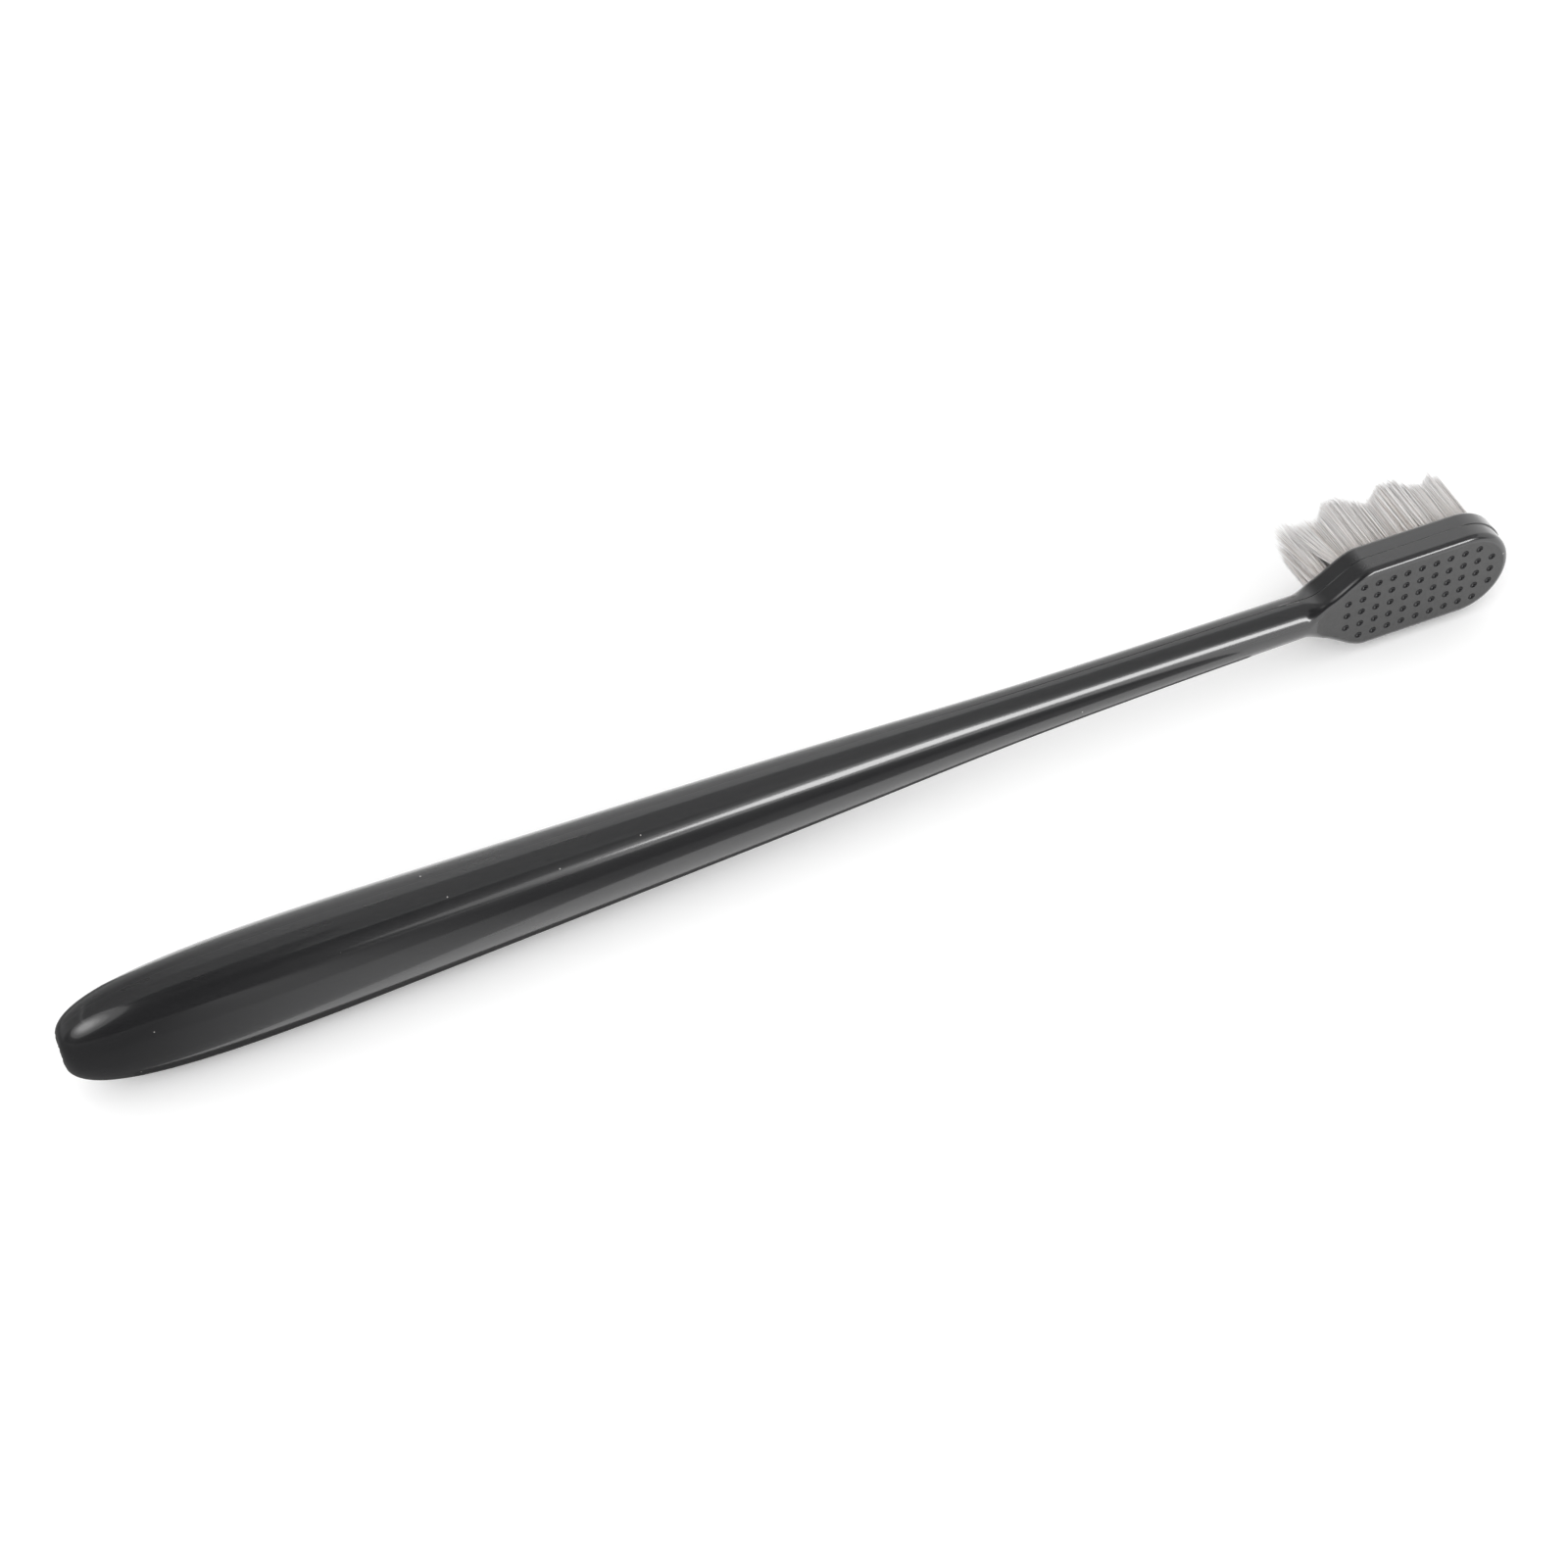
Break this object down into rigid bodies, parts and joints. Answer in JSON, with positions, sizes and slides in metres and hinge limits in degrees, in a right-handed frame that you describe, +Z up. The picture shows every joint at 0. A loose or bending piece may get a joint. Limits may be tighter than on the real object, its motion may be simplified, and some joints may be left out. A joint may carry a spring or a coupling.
{
  "type": "manual toothbrush",
  "caption": "Manual toothbrush with a slim dark moulded handle, a dimpled head back and a dense, wave-cut field of pale bristle tufts.",
  "frame": {"origin": "middle of the brush's box, on the surface it lies on", "axes": "+X along the brush from the butt to the tip of the head, +Y the way the bristles point, +Z up, across the head's width, as the brush lies on its side"},
  "size_m": [0.1834, 0.0198, 0.0149],
  "materials": {
    "body_plastic": "gloss, with a fine matte texture on the back of the head",
    "bristles": "fine nylon filaments with tapered, paler tips",
    "anchor_metal": "plain, hidden in the head"
  },
  "bodies": {
    "root": {"brush_body": "body_plastic", "anchor_strips": "anchor_metal", "tuft_a01": "bristles", "tuft_a02": "bristles", "tuft_a03": "bristles", "tuft_a04": "bristles", "tuft_a05": "bristles", "tuft_a06": "bristles", "tuft_a07": "bristles", "tuft_a08": "bristles", "tuft_a09": "bristles", "tuft_b01": "bristles", "tuft_b02": "bristles", "tuft_b03": "bristles", "tuft_b04": "bristles", "tuft_b05": "bristles", "tuft_b06": "bristles", "tuft_b07": "bristles", "tuft_b08": "bristles", "tuft_b09": "bristles", "tuft_b10": "bristles", "tuft_b11": "bristles", "tuft_c01": "bristles", "tuft_c02": "bristles", "tuft_c03": "bristles", "tuft_c04": "bristles", "tuft_c05": "bristles", "tuft_c06": "bristles", "tuft_c07": "bristles", "tuft_c08": "bristles", "tuft_c09": "bristles", "tuft_c10": "bristles", "tuft_c11": "bristles", "tuft_d01": "bristles", "tuft_d02": "bristles", "tuft_d03": "bristles", "tuft_d04": "bristles", "tuft_d05": "bristles", "tuft_d06": "bristles", "tuft_d07": "bristles", "tuft_d08": "bristles", "tuft_d09": "bristles", "tuft_d10": "bristles", "tuft_d11": "bristles", "tuft_e01": "bristles", "tuft_e02": "bristles", "tuft_e03": "bristles", "tuft_e04": "bristles", "tuft_e05": "bristles", "tuft_e06": "bristles", "tuft_e07": "bristles", "tuft_e08": "bristles", "tuft_e09": "bristles"}
  },
  "joints": []
}
